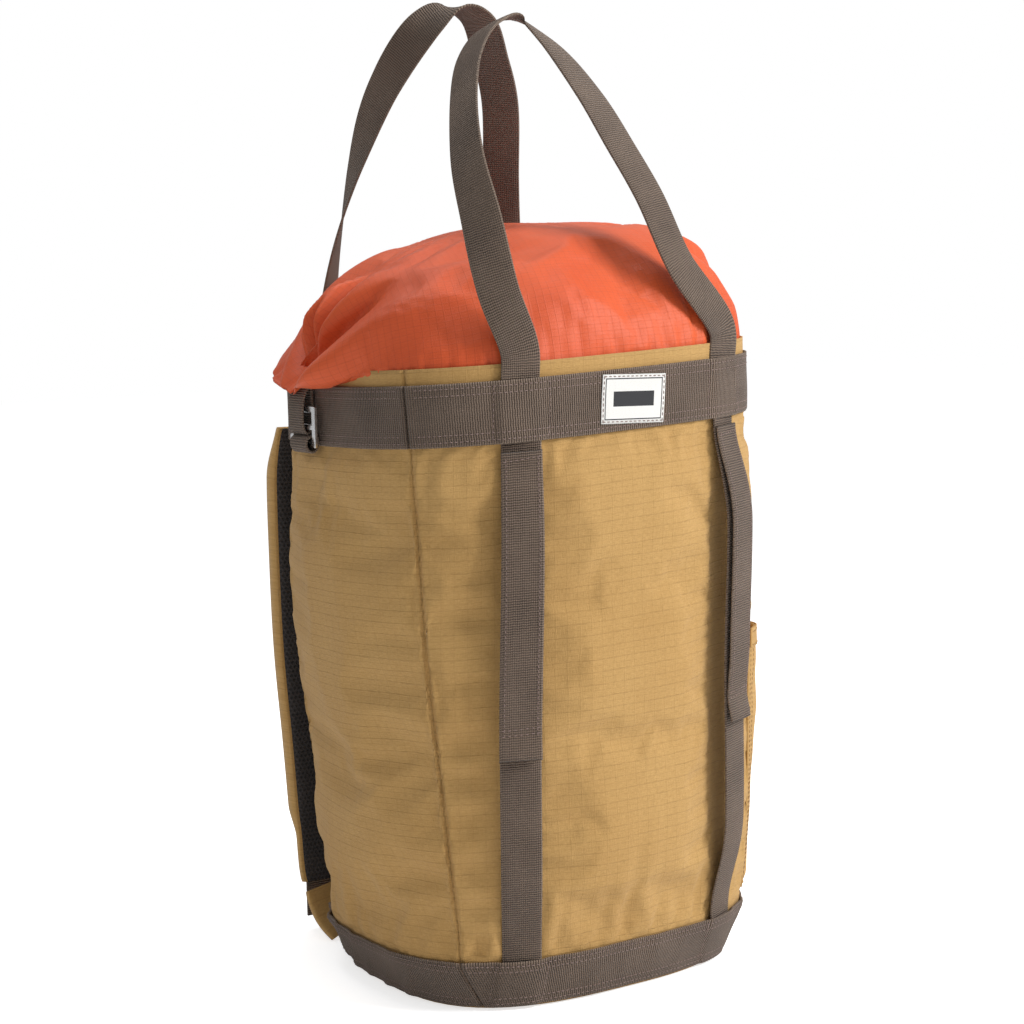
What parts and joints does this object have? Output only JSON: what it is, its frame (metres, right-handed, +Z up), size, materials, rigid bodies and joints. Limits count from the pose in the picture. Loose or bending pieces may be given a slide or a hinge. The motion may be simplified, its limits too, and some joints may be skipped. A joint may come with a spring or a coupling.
{
  "type": "rope storage bag",
  "caption": "Tall cloth rope bag with webbing handles, a gathered fold-in collar over its mouth, side G-hooks, lash straps, a side pocket and padded shoulder straps.",
  "frame": {"origin": "under the middle of the whole object's bounding box, on the floor it stands on", "axes": "+Z up, the front with the lash straps and label faces -Y, +X to the right seen from the front"},
  "size_m": [0.309, 0.2696, 0.6221],
  "materials": {
    "body_cloth": "tan ripstop nylon",
    "webbing": "ribbed nylon webbing",
    "collar_cloth": "thin shiny nylon",
    "spacer_mesh": "open mesh over foam",
    "label": "woven label",
    "foam_board": "closed-cell foam",
    "hook_metal": "polished",
    "buckle_plastic": "moulded nylon"
  },
  "bodies": {
    "bag": {"front_panel": "body_cloth", "mouth_belt_front": "webbing", "base_belt_front": "webbing", "right_panel": "body_cloth", "mouth_belt_right": "webbing", "base_belt_right": "webbing", "back_panel": "body_cloth", "mouth_belt_back": "webbing", "base_belt_back": "webbing", "left_panel": "body_cloth", "mouth_belt_left": "webbing", "base_belt_left": "webbing", "base_panel": "body_cloth", "base_stiffener": "foam_board", "back_foam": "foam_board", "back_mesh_pad": "spacer_mesh", "side_pocket": "body_cloth", "pocket_hem": "webbing", "label_patch": "label", "collar_left_end": "collar_cloth", "collar_right_end": "collar_cloth", "front_strap_left": "webbing", "rear_strap_left": "webbing", "lash_sleeve_left": "webbing", "left_tab": "webbing", "left_keeper": "webbing", "left_strap_wing": "body_cloth", "front_strap_right": "webbing", "rear_strap_right": "webbing", "lash_sleeve_right": "webbing", "right_tab": "webbing", "right_keeper": "webbing", "right_strap_wing": "body_cloth"},
    "front_handle_loop": {"front_handle": "webbing"},
    "rear_handle_loop": {"rear_handle": "webbing"},
    "collar_front_flap": {"collar_front": "collar_cloth"},
    "collar_rear_flap": {"collar_rear": "collar_cloth"},
    "left_hook": {"left_g_hook": "hook_metal"},
    "right_hook": {"right_g_hook": "hook_metal"},
    "left_shoulder_strap": {"left_shoulder_pad": "body_cloth", "left_shoulder_mesh": "spacer_mesh", "left_buckle_tab": "webbing", "left_ladder_lock": "buckle_plastic", "left_lower_webbing": "webbing"},
    "right_shoulder_strap": {"right_shoulder_pad": "body_cloth", "right_shoulder_mesh": "spacer_mesh", "right_buckle_tab": "webbing", "right_ladder_lock": "buckle_plastic", "right_lower_webbing": "webbing"}
  },
  "joints": [
    {"name": "front_handle_swing", "type": "hinge", "parent": "bag", "child": "front_handle_loop", "pos_m": [0, -0.12947, 0.3955], "axis": [1, 0, 0], "range_deg": [0, 180]},
    {"name": "rear_handle_swing", "type": "hinge", "parent": "bag", "child": "rear_handle_loop", "pos_m": [0, 0.10953, 0.3955], "axis": [-1, 0, 0], "range_deg": [0, 140]},
    {"name": "collar_front_fold", "type": "hinge", "parent": "bag", "child": "collar_front_flap", "pos_m": [0, -0.11197, 0.4033], "axis": [-1, 0, 0], "range_deg": [0, 115]},
    {"name": "collar_rear_fold", "type": "hinge", "parent": "bag", "child": "collar_rear_flap", "pos_m": [0, 0.09203, 0.4033], "axis": [1, 0, 0], "range_deg": [0, 115]},
    {"name": "left_hook_tilt", "type": "hinge", "parent": "bag", "child": "left_hook", "pos_m": [-0.1503, 0.00803, 0.365], "axis": [0, 1, 0], "range_deg": [-4, 4]},
    {"name": "right_hook_tilt", "type": "hinge", "parent": "bag", "child": "right_hook", "pos_m": [0.1503, 0.00803, 0.365], "axis": [0, 1, 0], "range_deg": [-4, 4]},
    {"name": "left_shoulder_lift", "type": "hinge", "parent": "bag", "child": "left_shoulder_strap", "pos_m": [-0.084, 0.1184, 0.35], "axis": [1, 0, 0], "range_deg": [0, 30]},
    {"name": "right_shoulder_lift", "type": "hinge", "parent": "bag", "child": "right_shoulder_strap", "pos_m": [0.084, 0.1184, 0.35], "axis": [1, 0, 0], "range_deg": [0, 30]}
  ]
}
